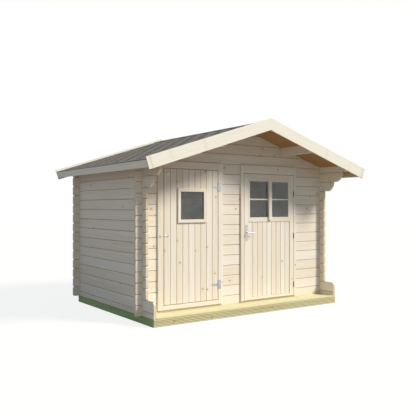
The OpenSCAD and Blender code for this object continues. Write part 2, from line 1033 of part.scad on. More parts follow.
module right_door_glass() {
    x0 = right_edge + glass_stile + fit;
    x1 = right_edge + right_w - glass_stile - fit;
    color(glass_grey)
        block([x0, glass_y, glass_low + fit], [x1, glass_y + glass_t, glass_top - fit]);
}

// Bars over the glass: a deep upright and a thin level bar, and flat ones inside
module right_glazing_bars() {
    x0 = right_edge + glass_stile + fit;
    x1 = right_edge + right_w - glass_stile - fit;
    mid_z = (glass_low + glass_top) / 2;
    back_y0 = glass_y + glass_t;
    back_y1 = casing_y + right_t;
    color(pale_wood) {
        block([right_x - bar_w / 2, casing_y - bar_proud, glass_low - bar_lap],
            [right_x + bar_w / 2, casing_y, glass_top + bar_lap]);
        block([right_x - bar_w / 2, casing_y, glass_low + fit],
            [right_x + bar_w / 2, glass_y, glass_top - fit]);
        block([x0, casing_y + level_bar_in, mid_z - level_bar_h / 2], [x1, glass_y, mid_z + level_bar_h / 2]);
        block([right_x - bar_w / 2, back_y0, glass_low + fit],
            [right_x + bar_w / 2, back_y1, glass_top - fit]);
        block([x0, back_y0, mid_z - level_bar_h / 2], [x1, back_y1, mid_z + level_bar_h / 2]);
    }
}

module right_door_cap() {
    color(white)
        cap(right_edge + cap_in, right_top - cap_in);
}

// A plate on each face of the door, bored for the spindle
module right_handle_plates() {
    r = handle_plate_r;
    z0 = handle_z - handle_plate_h / 2;
    color(zinc)
        difference() {
            for (y = [casing_y - handle_plate_t, casing_y + right_t])
                board_y(y, y + handle_plate_t)
                    bar_outline(handle_x - handle_plate_w / 2, handle_x + handle_plate_w / 2,
                        z0, z0 + handle_plate_h, [r, r, r, r]);
            rod_y(handle_x, handle_z, spindle_r + pin_fit,
                casing_y - handle_plate_t - over, casing_y + right_t + handle_plate_t + over);
        }
}

// Neck and grip of a lever, in front of the plate at y, towards the side given
module lever(y, side) {
    grip_y = y + side * lever_off;
    neck_y = y + side * fit;
    rod_y(handle_x, handle_z, neck_r, min(neck_y, grip_y), max(neck_y, grip_y));
    translate([handle_x, grip_y, handle_z]) {
        rotate([0, 90, 0])
            cylinder(r = lever_r, h = lever_l);
        sphere(r = neck_r);
        translate([lever_l, 0, 0])
            sphere(r = lever_r);
    }
}

module lever_handle() {
    out_y = casing_y - handle_plate_t;
    in_y = casing_y + right_t + handle_plate_t;
    color(zinc) {
        rod_y(handle_x, handle_z, spindle_r, out_y - spindle_in, in_y + spindle_in);
        lever(out_y, -1);
        lever(in_y, 1);
    }
}

// ---- Nodes --------------------------------------------------------------

base_bearers();
floor_boards();
porch_deck();
porch_fascia();
left_wall();
right_wall();
back_wall();
back_gable();
front_sill_log();
front_wall_left();
front_wall_middle();
front_wall_right();
front_head_log();
front_gable();
roof_purlins();
roof_boards_left();
roof_boards_right();
shingles_left();
shingles_right();
ridge_strip();
front_barge_boards();
back_barge_boards();
eave_board_left();
eave_board_right();
left_door_casing();
right_door_casing();
left_hinge_plates();
right_hinge_plates();
hook_keeper();
left_door_boards();
left_door_ledges();
left_window_trim();
left_window_glass();
left_hinge_straps();
left_door_cap();
hook_pivot();
cabin_hook();
right_door_frame();
right_door_panel();
right_door_glass();
right_glazing_bars();
right_handle_plates();
right_hinge_leaves();
right_door_cap();
lever_handle();
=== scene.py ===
"""Garden tool shed in stacked spruce logs: its finishes, boards, shingles and small hardware.

Lengths are in metres. X runs across the front, Y from front to back and Z up.
"""

import math
import random

import bmesh
import bpy
from mathutils import Matrix, Vector


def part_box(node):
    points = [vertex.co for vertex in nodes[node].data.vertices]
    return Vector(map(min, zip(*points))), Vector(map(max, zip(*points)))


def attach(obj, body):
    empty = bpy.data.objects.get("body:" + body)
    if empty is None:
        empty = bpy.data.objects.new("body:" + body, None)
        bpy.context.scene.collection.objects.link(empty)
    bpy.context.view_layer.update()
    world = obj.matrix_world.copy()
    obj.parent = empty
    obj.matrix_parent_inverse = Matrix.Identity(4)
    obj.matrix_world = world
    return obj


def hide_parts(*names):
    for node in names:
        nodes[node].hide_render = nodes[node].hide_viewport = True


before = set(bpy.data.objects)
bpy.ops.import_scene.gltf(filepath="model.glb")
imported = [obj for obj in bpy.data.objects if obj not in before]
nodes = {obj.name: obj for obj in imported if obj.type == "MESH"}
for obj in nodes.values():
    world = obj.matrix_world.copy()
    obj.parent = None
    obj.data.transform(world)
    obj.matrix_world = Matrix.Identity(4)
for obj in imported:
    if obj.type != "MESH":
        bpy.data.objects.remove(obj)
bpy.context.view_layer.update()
mm = 0.001

# Sizes that the frame's boxes don't give
ROOF_PITCH = math.radians(17.9)
LOG_H = 135 * mm
ROOF_BOARD_T = 19 * mm
EAVE_BOARD_T = 19 * mm
# Top of the shingles over the underside of the roof boards
SHINGLE_TOP = 27 * mm
RIDGE_LIFT = 0.5 * mm
RIDGE_STRIP_T = 4 * mm
# How far boards and sheets stay off the ridge line
RIDGE_GAP = 1 * mm
# Round each door: the gap, how far a stop laps the door, and the jamb with its stop
DOOR_GAP = 6 * mm
STOP_W = 12 * mm
JAMB_T = 40 * mm
# Between pieces that touch
FIT = 0.5 * mm

# Places worked out from the frame
base_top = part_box("base_bearers")[1].z
front_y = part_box("front_head_log")[0].y
casing_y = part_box("left_door_boards")[0].y
ridge_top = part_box("ridge_strip")[1].z
apex_z = ridge_top - (SHINGLE_TOP + RIDGE_LIFT + RIDGE_STRIP_T) / math.cos(ROOF_PITCH)
roof_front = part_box("shingles_right")[0].y
roof_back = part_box("shingles_right")[1].y
eave_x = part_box("eave_board_right")[1].x
slope_l = (eave_x - ROOF_BOARD_T * math.sin(ROOF_PITCH)) / math.cos(ROOF_PITCH)


# ---- Camera, light and floor ----------------------------------------------

LENS_MM = 49.19
CAMERA_AT = (-4.786, -6.857, 1.408)
CAMERA_TILT_DEG = 89.963
CAMERA_TURN_DEG = -34.864


def add_camera():
    """A nearly level camera under eye height, in front of the left corner."""
    lens = bpy.data.cameras.new("camera")
    lens.lens = LENS_MM
    camera = bpy.data.objects.new("camera", lens)
    camera.location = CAMERA_AT
    camera.rotation_euler = (math.radians(CAMERA_TILT_DEG), 0, math.radians(CAMERA_TURN_DEG))
    bpy.context.scene.collection.objects.link(camera)
    bpy.context.scene.camera = camera


def add_sun(name, towards, strength, soft_deg, colour):
    """A soft far lamp, given by the direction in which it stands."""
    lamp = bpy.data.lights.new(name, "SUN")
    lamp.energy = strength
    lamp.angle = math.radians(soft_deg)
    lamp.color = linear(colour)[:3]
    holder = bpy.data.objects.new(name, lamp)
    holder.rotation_euler = Vector(towards).to_track_quat("Z", "Y").to_euler()
    bpy.context.scene.collection.objects.link(holder)


def linear(hex_colour):
    """Turns an sRGB hex colour into linear RGBA."""
    parts = [int(hex_colour[i : i + 2], 16) / 255 for i in (1, 3, 5)]
    return [c / 12.92 if c <= 0.04045 else ((c + 0.055) / 1.055) ** 2.4 for c in parts] + [1]


def add(tree, kind, values=None, links=None, **settings):
    """Adds a shader node, sets its fields and input values, and links its inputs."""
    made = tree.nodes.new(kind)
    for field, value in settings.items():
        setattr(made, field, value)
    for name, value in (values or {}).items():
        made.inputs[name].default_value = value
    for name, source in (links or {}).items():
        tree.links.new(source, made.inputs[name])
    return made


def plain_white_rays(tree):
    """1 for rays on which the backdrop shows: from the camera, a mirror or glass."""
    rays = add(tree, "ShaderNodeLightPath").outputs
    gloss = add(tree, "ShaderNodeMath",
                links={0: rays["Is Camera Ray"], 1: rays["Is Glossy Ray"]},
                operation="MAXIMUM").outputs[0]
    return add(tree, "ShaderNodeMath", links={0: gloss, 1: rays["Is Transmission Ray"]},
               operation="MAXIMUM").outputs[0]


SKY_STRENGTH = 0.44
# How much of the floor's look is its own glow, and how strong that is
FLOOR_GLOW_SHARE = 0.52
FLOOR_GLOW = 1.62
FLOOR_HALF = 60


def add_sky():
    """An even, slightly cool sky that shows as plain white."""
    world = bpy.data.worlds.new("sky")
    world.use_nodes = True
    tree = world.node_tree
    tree.nodes.clear()
    light = add(tree, "ShaderNodeBackground",
                {"Color": linear("#D5E6F8"), "Strength": SKY_STRENGTH})
    white = add(tree, "ShaderNodeBackground", {"Color": linear("#FFFFFF"), "Strength": 1.0})
    mixed = add(tree, "ShaderNodeMixShader",
                links={0: plain_white_rays(tree), 1: light.outputs[0], 2: white.outputs[0]})
    add(tree, "ShaderNodeOutputWorld", links={"Surface": mixed.outputs[0]})
    bpy.context.scene.world = world


def add_floor():
    """A plain pale floor that keeps a faint shadow."""
    material = bpy.data.materials.new("pale_floor")
    material.use_nodes = True
    tree = material.node_tree
    tree.nodes.clear()
    matt = add(tree, "ShaderNodeBsdfDiffuse", {"Color": linear("#9A9894")})
    glow = add(tree, "ShaderNodeEmission",
               {"Color": linear("#FFFFFF"), "Strength": FLOOR_GLOW})
    share = add(tree, "ShaderNodeMath", {1: FLOOR_GLOW_SHARE}, {0: plain_white_rays(tree)},
                operation="MULTIPLY")
    mixed = add(tree, "ShaderNodeMixShader",
                links={0: share.outputs[0], 1: matt.outputs[0], 2: glow.outputs[0]})
    add(tree, "ShaderNodeOutputMaterial", links={"Surface": mixed.outputs[0]})
    sheet = bmesh.new()
    bmesh.ops.create_grid(sheet, x_segments=1, y_segments=1, size=FLOOR_HALF)
    floor = to_object("floor", sheet, material)


# ---- Shapes ---------------------------------------------------------------


def to_object(name, mesh_edit, material):
    """Turns a finished bmesh into an object at the origin."""
    mesh = bpy.data.meshes.new(name)
    mesh_edit.to_mesh(mesh)
    mesh_edit.free()
    mesh.materials.append(material)
    piece = bpy.data.objects.new(name, mesh)
    bpy.context.scene.collection.objects.link(piece)
    return piece


def finish_piece(name, mesh_edit, material, body, slot, *replaced):
    """Makes a piece of the shed that rides on a body and stands for CAD nodes."""
    piece = to_object(name, mesh_edit, material)
    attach(piece, body)
    if replaced:
        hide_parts(*replaced)
    return piece


def plank(edit, low, high, edge=1.5 * mm, place=None):
    """Adds a board from its lowest to its highest corner, with eased edges."""
    low, high = Vector(low), Vector(high)
    size = high - low
    matrix = Matrix.Translation((low + high) / 2) @ Matrix.Diagonal((*size, 1))
    verts = bmesh.ops.create_cube(edit, size=1, matrix=matrix)["verts"]
    edges = {e for v in verts for e in v.link_edges}
    eased = bmesh.ops.bevel(edit, geom=list(edges), offset=edge, segments=1, profile=0.5,
                            affect="EDGES", material=-1, clamp_overlap=True)["verts"]
    if place is not None:
        bmesh.ops.transform(edit, matrix=place, verts=eased)
    return eased


def row_of_planks(edit, low, high, axis, count, edge, gap=0.4 * mm, place=None):
    """Fills a box with boards side by side along an axis."""
    pitch = (high[axis] - low[axis]) / count
    for i in range(count):
        start, end = Vector(low), Vector(high)
        start[axis] = low[axis] + i * pitch + gap / 2
        end[axis] = low[axis] + (i + 1) * pitch - gap / 2
        plank(edit, start, end, edge, place)


def slope_place(side):
    """Matrix from distance down a slope, Y and depth over the soffit to the frame."""
    across = Matrix.Rotation(ROOF_PITCH, 4, "Y")
    turn = Matrix.Rotation(0 if side == "right" else math.pi, 4, "Z")
    return turn @ Matrix.Translation((0, 0, apex_z)) @ across


def cut_box(piece, low, high):
    """Cuts a box out of a piece."""
    edit = bmesh.new()
    plank(edit, low, high, edge=0.1 * mm)
    cutter = to_object("cutter", edit, piece.data.materials[0])
    hole = piece.modifiers.new("hole", "BOOLEAN")
    hole.object = cutter
    hole.operation = "DIFFERENCE"
    hole.solver = "EXACT"
    shown = piece.evaluated_get(bpy.context.evaluated_depsgraph_get())
    cut = bpy.data.meshes.new_from_object(shown)
    piece.modifiers.clear()
    piece.data = cut
    bpy.data.objects.remove(cutter)


# ---- Materials ------------------------------------------------------------


def new_material(name):
    """A material with an empty tree."""
    material = bpy.data.materials.new(name)
    material.use_nodes = True
    material.node_tree.nodes.clear()
    return material, material.node_tree


def math_node(tree, operation, a, b=None, clamp=False):
    """Sum, product or other operation on two values, each a number or an output."""
    values, links = {}, {}
    for index, item in enumerate((a, b)):
        if isinstance(item, bpy.types.NodeSocket):
            links[index] = item
        elif item is not None:
            values[index] = item
    made = add(tree, "ShaderNodeMath", values, links, operation=operation, use_clamp=clamp)
    return made.outputs[0]


def times(tree, value, factor):
    """A value times a number or another value."""
    return math_node(tree, "MULTIPLY", value, factor)


def spread(tree, value, start, end, low=0.0, high=1.0):
    """Maps start..end smoothly to low..high."""
    return add(tree, "ShaderNodeMapRange",
               {"From Min": start, "From Max": end, "To Min": low, "To Max": high},
               {"Value": value}, interpolation_type="SMOOTHSTEP").outputs["Result"]


def blend(tree, share, a, b, kind="MIX"):
    """Mixes two colours, each a hex colour or an output."""
    values, links = {}, {}
    for index, item in ((0, share), (6, a), (7, b)):
        if isinstance(item, bpy.types.NodeSocket):
            links[index] = item
        elif isinstance(item, str):
            values[index] = linear(item)
        else:
            values[index] = item
    return add(tree, "ShaderNodeMix", values, links, data_type="RGBA", blend_type=kind,
               clamp_factor=True).outputs[2]


def split(tree, vector):
    """The three parts of a vector."""
    return add(tree, "ShaderNodeSeparateXYZ", links={0: vector}).outputs


def one_random(tree, colour):
    """One random value out of a cell's random colour."""
    return add(tree, "ShaderNodeSeparateColor", links={0: colour}).outputs[0]


def mirrored(tree, vector):
    """A vector with its X taken as positive, so that both roof slopes have one pattern."""
    x, y, z = split(tree, vector)
    return add(tree, "ShaderNodeCombineXYZ",
               links={0: math_node(tree, "ABSOLUTE", x), 1: y, 2: z}).outputs[0]


def object_place(tree):
    """The place on a piece, in the object's own metres."""
    where = add(tree, "ShaderNodeTexCoord").outputs["Object"]
    return add(tree, "ShaderNodeMapping", links={"Vector": where}).outputs[0]


def stretched(tree, where, scale):
    """A place with each axis scaled."""
    return add(tree, "ShaderNodeMapping", {"Scale": scale}, {"Vector": where}).outputs[0]


def noise(tree, where, scale, detail, roughness=0.5):
    """Soft noise, with values round a half."""
    return add(tree, "ShaderNodeTexNoise",
               {"Scale": scale, "Detail": detail, "Roughness": roughness},
               {"Vector": where}).outputs["Fac"]


def bumps(tree, height, strength, depth):
    """Relief up to a depth in metres."""
    return add(tree, "ShaderNodeBump", {"Strength": strength, "Distance": depth},
               {"Height": height}).outputs[0]


def close_tree(material, constants, **links):
    """Ends a material's tree with its main shader."""
    named = {name.replace("_", " "): source for name, source in links.items()}
    shader = add(material.node_tree, "ShaderNodeBsdfPrincipled", constants, named)
    add(material.node_tree, "ShaderNodeOutputMaterial", links={"Surface": shader.outputs[0]})
    return material


# How a pattern is turned on a piece, so that its grain runs along the first axis
GRAIN_X = (0, 0, 0)
GRAIN_Y = (0, 0, math.radians(-90))
GRAIN_Z = (0, math.radians(90), 0)
GRAIN_SLOPE = (0, -ROOF_PITCH, 0)

# Planed spruce: patches to a metre, first along the grain and then twice across it.
# Streaks are 12 mm wide and most of a metre long, and fibres 2.5 mm wide.
STREAKS = (1.3, 80, 80)
FIBRES = (9, 400, 400)
# Growth rings lie 9 mm apart and are drawn out along the trunk
RING_STRETCH = (0.12, 1, 1)
RING_SCALE = 35
# How far one board's pattern may lie from another's
TRUNK_REACH = (17, 0.21, 0.21)
# One cell holds at most one knot. Radii are shares of a cell, from bare to full.
KNOT_CELL = 260 * mm
KNOT_RADII = (0.066, 0.044)
HEART_RADII = (0.048, 0.02)
HALO_RADII = (0.2, 0.06)
KNOT_WAVER = 0.03
# The shadow in a joint, from its middle: full to here, gone from there
SEAM_CORE = 1.5 * mm
SEAM_EDGE = 5 * mm
# A face is a sawn end when its normal lies this near to the grain
END_FACING = (0.75, 0.95)


def spruce_knots(tree, cut, stack, streaks, chance):
    """Knots about 30 mm wide, each with a heart and a halo."""
    axes = split(tree, cut)
    flat = add(tree, "ShaderNodeCombineXYZ", links={0: axes[0], 1: axes[stack]}).outputs[0]
    cell = add(tree, "ShaderNodeTexVoronoi", {"Scale": 1 / KNOT_CELL}, {"Vector": flat},
               voronoi_dimensions="2D").outputs
    chosen = math_node(tree, "LESS_THAN", one_random(tree, cell["Color"]), chance)
    off = math_node(tree, "ADD", cell["Distance"], times(tree, streaks, KNOT_WAVER))
    return [times(tree, spread(tree, off, bare, full), chosen)
            for bare, full in (KNOT_RADII, HEART_RADII, HALO_RADII)]


def spruce(name, turn, stack, pitch, start, light="#F3EDE2", dark="#E1D3B9", knots=0.24,
           both_slopes=False, rough=0.62, joint=0.0):
    """Planed spruce: pale, with long soft streaks, growth rings, brown knots and sawn ends.

    turn brings the grain to the first axis. stack is the axis on which boards of one
    pitch lie side by side from start, so that each board has its own streaks and tone.
    knots is the share of cells with a knot. joint is how dark the painted shadow in the joints is.
    """
    material, tree = new_material(name)
    place = add(tree, "ShaderNodeTexCoord").outputs
    where, facing = place["Object"], place["Normal"]
    if both_slopes:
        where, facing = mirrored(tree, where), mirrored(tree, facing)
    where = add(tree, "ShaderNodeMapping", {"Rotation": turn}, {"Vector": where}).outputs[0]
    facing = add(tree, "ShaderNodeMapping", {"Rotation": turn}, {"Vector": facing},
                 vector_type="NORMAL").outputs[0]
    from_start = math_node(tree, "SUBTRACT", split(tree, where)[stack], start)
    along = math_node(tree, "DIVIDE", from_start, pitch)
    own = add(tree, "ShaderNodeTexWhiteNoise", links={"W": math_node(tree, "FLOOR", along)},
              noise_dimensions="1D").outputs
    # Each board is cut from another place in the trunk
    shift = add(tree, "ShaderNodeVectorMath", {1: TRUNK_REACH}, {0: own["Color"]},
                operation="MULTIPLY").outputs[0]
    cut = add(tree, "ShaderNodeVectorMath", links={0: where, 1: shift},
              operation="ADD").outputs[0]

    streaks = noise(tree, stretched(tree, cut, STREAKS), 1, 3, 0.6)
    fibres = noise(tree, stretched(tree, cut, FIBRES), 1, 2)
    rings = add(tree, "ShaderNodeTexWave",
                {"Scale": RING_SCALE, "Distortion": 2.2, "Detail": 2, "Detail Scale": 0.5},
                {"Vector": stretched(tree, cut, RING_STRETCH)}, wave_type="RINGS",
                rings_direction="X", wave_profile="SAW").outputs["Fac"]
    knot, heart, halo = spruce_knots(tree, cut, stack, streaks, knots)

    figure = math_node(tree, "ADD", times(tree, spread(tree, streaks, 0.35, 0.72), 0.45),
                       times(tree, rings, 0.22))
    figure = math_node(tree, "ADD", figure, times(tree, halo, 0.35), clamp=True)
    colour = blend(tree, figure, light, dark)
    fine = times(tree, spread(tree, fibres, 0.45, 0.8), 0.22)
    colour = blend(tree, fine, colour, dark)
    tone = spread(tree, own["Value"], 0, 1, 0.0, 0.3)
    colour = blend(tree, tone, colour, "#EDDFC6", "MULTIPLY")
    colour = blend(tree, times(tree, knot, 0.6), colour, "#8F6540")
    colour = blend(tree, times(tree, heart, 0.45), colour, "#6A4628")
    # Painted shadow in the joints between boards and logs and in the grooves
    if joint:
        off_joint = times(tree, math_node(tree, "PINGPONG", along, 0.5), pitch)
        joint_shadow = spread(tree, off_joint, SEAM_CORE, SEAM_EDGE, joint, 0.0)
        colour = blend(tree, joint_shadow, colour, "#6B4F33")
    # Sawn ends are darker and show the rings as arcs
    end = spread(tree, math_node(tree, "ABSOLUTE", split(tree, facing)[0]), *END_FACING)
    end_colour = blend(tree, times(tree, rings, 0.6), "#EBD9B8", "#C9A878")
    colour = blend(tree, times(tree, end, 0.85), colour, end_colour)

    relief = math_node(tree, "ADD", times(tree, fibres, 0.6), times(tree, rings, 0.4))
    return close_tree(material, {"IOR": 1.45}, Base_Color=colour,
                      Roughness=spread(tree, streaks, 0.3, 0.7, rough - 0.06, rough + 0.08),
                      Normal=bumps(tree, relief, 0.35, 0.6 * mm))


def treated_wood(name, turn, stack, pitch, start, light, dark, joint=0.0):
    """Pressure treated pine: the copper salts give it a green cast, darker in the streaks."""
    return spruce(name, turn, stack, pitch, start, light=light, dark=dark, knots=0.1,
                  rough=0.7, joint=joint)


# Granules are 1 to 2 mm wide, in clumps of 7 mm that show from afar
GRANULE = 1.8 * mm
CLUMPS_TO_A_METRE = 140


def bitumen_shingle():
    """Bitumen felt with slate granules: matt speckled grey, with a dark band over the upper part
    of each tab that is partly printed and partly painted shade.
    """
    material, tree = new_material("slate_granule_felt")
    where = object_place(tree)
    clumps = noise(tree, where, CLUMPS_TO_A_METRE, 3, 0.7)
    grit = add(tree, "ShaderNodeTexVoronoi", {"Scale": 1 / GRANULE}, {"Vector": where}).outputs
    stains = noise(tree, where, 2.2, 3)
    tone = add(tree, "ShaderNodeAttribute", attribute_name="tab_tone").outputs["Fac"]
    rise = add(tree, "ShaderNodeAttribute", attribute_name="tab_rise").outputs["Fac"]
    colour = blend(tree, tone, "#69645C", "#7F7A72")
    colour = blend(tree, spread(tree, clumps, 0.4, 0.65), colour, "#55504D")
    colour = blend(tree, times(tree, spread(tree, stains, 0.4, 0.7), 0.35), colour, "#6F6A58")
    pale = math_node(tree, "GREATER_THAN", one_random(tree, grit["Color"]), 0.86)
    colour = blend(tree, times(tree, pale, 0.5), colour, "#A6A19B")
    # Dark band over each notch: partly a printed shadow band, partly painted shade under the tabs
    # above
    notch_print_and_shade = times(tree, spread(tree, rise, 0.25, 0.85), 0.88)
    colour = blend(tree, notch_print_and_shade, colour, "#262321")
    return close_tree(material, {"Roughness": 0.9, "IOR": 1.5}, Base_Color=colour,
                      Normal=bumps(tree, grit["Distance"], 0.6, 1 * mm))


def plated_steel(name, light, dark, rough, flake, contrast):
    """Plated sheet steel: a soft metal sheen, with faint patches from the plating bath."""
    material, tree = new_material(name)
    where = object_place(tree)
    flakes = add(tree, "ShaderNodeTexVoronoi", {"Scale": 1 / flake}, {"Vector": where}).outputs
    cloud = noise(tree, where, 60, 4)
    mixed = math_node(tree, "ADD", times(tree, one_random(tree, flakes["Color"]), contrast),
                      times(tree, spread(tree, cloud, 0.3, 0.7), 0.4), clamp=True)
    return close_tree(material, {"Metallic": 1.0}, Base_Color=blend(tree, mixed, light, dark),
                      Roughness=spread(tree, cloud, 0.3, 0.7, rough - 0.08, rough + 0.1),
                      Normal=bumps(tree, cloud, 0.15, 0.2 * mm))


def float_glass():
    """Float glass with a thin film of dust: clear, a little grey, and sharp in its reflections."""
    material, tree = new_material("float_glass")
    film = noise(tree, object_place(tree), 9, 4)
    colour = blend(tree, spread(tree, film, 0.35, 0.7), "#CDD0CC", "#BFC4C0")
    return close_tree(material, {"IOR": 1.5, "Transmission Weight": 0.92}, Base_Color=colour,
                      Roughness=spread(tree, film, 0.35, 0.7, 0.02, 0.07))


def moulded_plastic():
    """White moulded polythene: slightly waxy, with a very fine texture."""
    material, tree = new_material("white_polythene")
    cloud = noise(tree, object_place(tree), 120, 3)
    colour = blend(tree, spread(tree, cloud, 0.35, 0.65), "#F5F5F1", "#E6E6E0")
    return close_tree(material, {"Roughness": 0.35, "IOR": 1.5}, Base_Color=colour,
                      Normal=bumps(tree, cloud, 0.1, 0.1 * mm))


def finish_nodes(material, *names):
    """Gives CAD nodes a material."""
    for name in names:
        mesh = nodes[name].data
        mesh.materials.clear()
        mesh.materials.append(material)


# ---- Walls, base and roof timbers -----------------------------------------


# A pitch that takes a whole piece, where a piece is one board
ONE_BOARD = 1.0
TRIM_WOOD = {"light": "#F1EDE0", "dark": "#E4DAC4"}
# How dark the painted shadow is in the joints between logs, door boards and the front board's ribs
LOG_SEAM = 0.6
BOARD_SEAM = 0.5
GROOVE_SEAM = 0.75


def finish_walls():
    """Logs: one board of the pattern to a row, on the front and back and on the sides."""
    cross = spruce("planed_spruce_cross_logs", GRAIN_X, 2, LOG_H, base_top, joint=LOG_SEAM)
    finish_nodes(cross, "back_wall", "back_gable", "front_sill_log", "front_wall_left",
                 "front_wall_middle", "front_wall_right", "front_head_log", "front_gable")
    side = spruce("planed_spruce_side_logs", GRAIN_Y, 2, LOG_H, base_top - LOG_H / 2,
                  joint=LOG_SEAM)
    finish_nodes(side, "left_wall", "right_wall")
    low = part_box("roof_purlins")[0]
    purlin = spruce("planed_spruce_purlins", GRAIN_Y, 2, ONE_BOARD, low.z - ONE_BOARD / 2,
                    knots=0.4)
    finish_nodes(purlin, "roof_purlins")


def finish_trim_boards():
    """Barge boards, eave boards and glazing bars, a little paler than the logs."""
    barge = spruce("planed_spruce_barge_boards", GRAIN_SLOPE, 1, ONE_BOARD, 0, **TRIM_WOOD,
                   knots=0.16, both_slopes=True)
    finish_nodes(barge, "front_barge_boards", "back_barge_boards")
    eave = spruce("planed_spruce_eave_boards", GRAIN_Y, 2, ONE_BOARD, 0, **TRIM_WOOD, knots=0.16)
    finish_nodes(eave, "eave_board_left", "eave_board_right")
    low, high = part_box("right_glazing_bars")
    bar = spruce("planed_spruce_glazing_bars", GRAIN_Z, 2, ONE_BOARD,
                 -(low.x + high.x + ONE_BOARD) / 2, **TRIM_WOOD, knots=0)
    finish_nodes(bar, "right_glazing_bars")


def finish_base():
    """Green bearers, three-plank deck, grooved front board and the inner floor."""
    bearer = treated_wood("green_pine_bearers", GRAIN_Y, 2, ONE_BOARD, -ONE_BOARD / 2,
                          "#A2BF88", "#6B8958")
    finish_nodes(bearer, "base_bearers")

    low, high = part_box("porch_deck")
    planks = 3
    deck = treated_wood("treated_pine_deck", GRAIN_X, 1, (high.y - low.y) / planks, low.y,
                        "#E6E1B8", "#CAC192")
    edit = bmesh.new()
    row_of_planks(edit, low, high, 1, planks, edge=3 * mm, gap=3 * mm)
    finish_piece("deck_planks", edit, deck, "root", "deck_wood", "porch_deck")

    low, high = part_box("porch_fascia")
    ribs = 5
    groove = 4 * mm
    fascia = treated_wood("treated_pine_front_board", GRAIN_X, 2, (high.z - low.z) / ribs, low.z,
                          "#E6E1B2", "#C6BF8E", joint=GROOVE_SEAM)
    edit = bmesh.new()
    plank(edit, (low.x, low.y + groove, low.z), high, edge=1 * mm)
    row_of_planks(edit, low, (high.x, low.y + groove, high.z), 2, ribs, edge=1.5 * mm,
                  gap=6 * mm)
    finish_piece("grooved_front_board", edit, fascia, "root", "deck_wood", "porch_fascia")

    low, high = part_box("floor_boards")
    boards = 18
    floor = spruce("planed_spruce_floor", GRAIN_X, 1, (high.y - low.y) / boards, low.y)
    edit = bmesh.new()
    row_of_planks(edit, low, high, 1, boards, edge=1.5 * mm)
    finish_piece("floor_planks", edit, floor, "root", "floor_wood", "floor_boards")


def build_roof_boards():
    """Boards from ridge to eave, side by side from front to back, darker and browner than the
    walls as painted shade.
    """
    boards = 29
    pitch = (roof_back - roof_front) / boards
    # The browner, darker spruce under the roof is painted shade and warm bounce light, not a
    # different wood
    wood = spruce("spruce_roof_boards_painted_shade", GRAIN_SLOPE, 1, pitch, roof_front,
                  light="#B98A58", dark="#8F6336", both_slopes=True)
    end = slope_l - EAVE_BOARD_T - FIT
    for side in ("left", "right"):
        edit = bmesh.new()
        row_of_planks(edit, (RIDGE_GAP, roof_front, 0), (end, roof_back, ROOF_BOARD_T), 1,
                      boards, edge=2.5 * mm, place=slope_place(side))
        finish_piece("soffit_boards_" + side, edit, wood, "root", "roof_wood",
                     "roof_boards_" + side)


# ---- Shingles -------------------------------------------------------------

TAB_PITCH = 300 * mm
COURSE_H = 140 * mm
TAB_T = 3.2 * mm
TAB_TILT = 0.012
TAB_LIFT = 1 * mm
# How far a tab runs on under the next course
TAB_TUCK = 12 * mm
SHEET_T = 3 * mm
# Tabs stop this short of the ridge, where the ridge pieces cover them
RIDGE_BARE = 20 * mm
RIDGE_W = 120 * mm


def shingle_tab(edit, down, across, tone, rise):
    """One hexagonal tab, with its lower edge raised over the tabs under it."""
    size = (COURSE_H / math.cos(math.radians(30)), TAB_PITCH / 3, 1, 1)
    shape = (Matrix.Translation((down, across, ROOF_BOARD_T + SHEET_T + TAB_LIFT))
             @ Matrix.Rotation(-TAB_TILT, 4, "Y") @ Matrix.Diagonal(size))
    verts = bmesh.ops.create_circle(edit, cap_ends=True, segments=6, radius=1,
                                    matrix=shape)["verts"]
    middle = down - COURSE_H / 2
    for vert in verts:
        vert[rise] = 1.0 if vert.co.x < middle else 0.0
    own_tone = random.random()
    made = bmesh.ops.extrude_face_region(edit, geom=[verts[0].link_faces[0]])["geom"]
    upper = [item for item in made if isinstance(item, bmesh.types.BMVert)]
    bmesh.ops.translate(edit, vec=(0, 0, TAB_T), verts=upper)
    for vert in list(verts) + upper:
        vert[tone] = own_tone
        # The tab runs on under its neighbours
        if vert.co.x < middle:
            vert.co.x -= TAB_TUCK


def trim_at(edit, point, outward):
    """Cuts everything off past a plane and closes the cut."""
    geom = edit.verts[:] + edit.edges[:] + edit.faces[:]
    cut = bmesh.ops.bisect_plane(edit, geom=geom, dist=1e-6, plane_co=point, plane_no=outward,
                                 clear_outer=True)["geom_cut"]
    edges = [item for item in cut if isinstance(item, bmesh.types.BMEdge)]
    bmesh.ops.holes_fill(edit, edges=edges, sides=0)


def build_shingles():
    """Courses of hexagonal tabs on a felt sheet, and the pieces over the ridge."""
    felt = bitumen_shingle()
    courses = math.ceil(slope_l / COURSE_H)
    tabs = math.ceil((roof_back - roof_front) / TAB_PITCH) + 1
    limits = (((0, roof_front, 0), (0, -1, 0)), ((0, roof_back, 0), (0, 1, 0)),
              ((slope_l, 0, 0), (1, 0, 0)), ((RIDGE_BARE, 0, 0), (-1, 0, 0)))
    for side in ("left", "right"):
        edit = bmesh.new()
        tone = edit.verts.layers.float.new("tab_tone")
        rise = edit.verts.layers.float.new("tab_rise")
        for course in range(courses + 1):
            down = slope_l - course * COURSE_H
            for tab in range(tabs + 1):
                across = roof_front + (tab - 0.5 * (course % 2)) * TAB_PITCH
                shingle_tab(edit, down, across, tone, rise)
        for point, outward in limits:
            trim_at(edit, point, outward)
        plank(edit, (RIDGE_GAP, roof_front, ROOF_BOARD_T + FIT),
              (slope_l - 2 * mm, roof_back, ROOF_BOARD_T + SHEET_T), edge=0.4 * mm)
        bmesh.ops.recalc_face_normals(edit, faces=edit.faces[:])
        bmesh.ops.transform(edit, matrix=slope_place(side), verts=edit.verts[:])
        finish_piece("shingle_courses_" + side, edit, felt, "root", "shingle",
                     "shingles_" + side)
    build_ridge(felt)


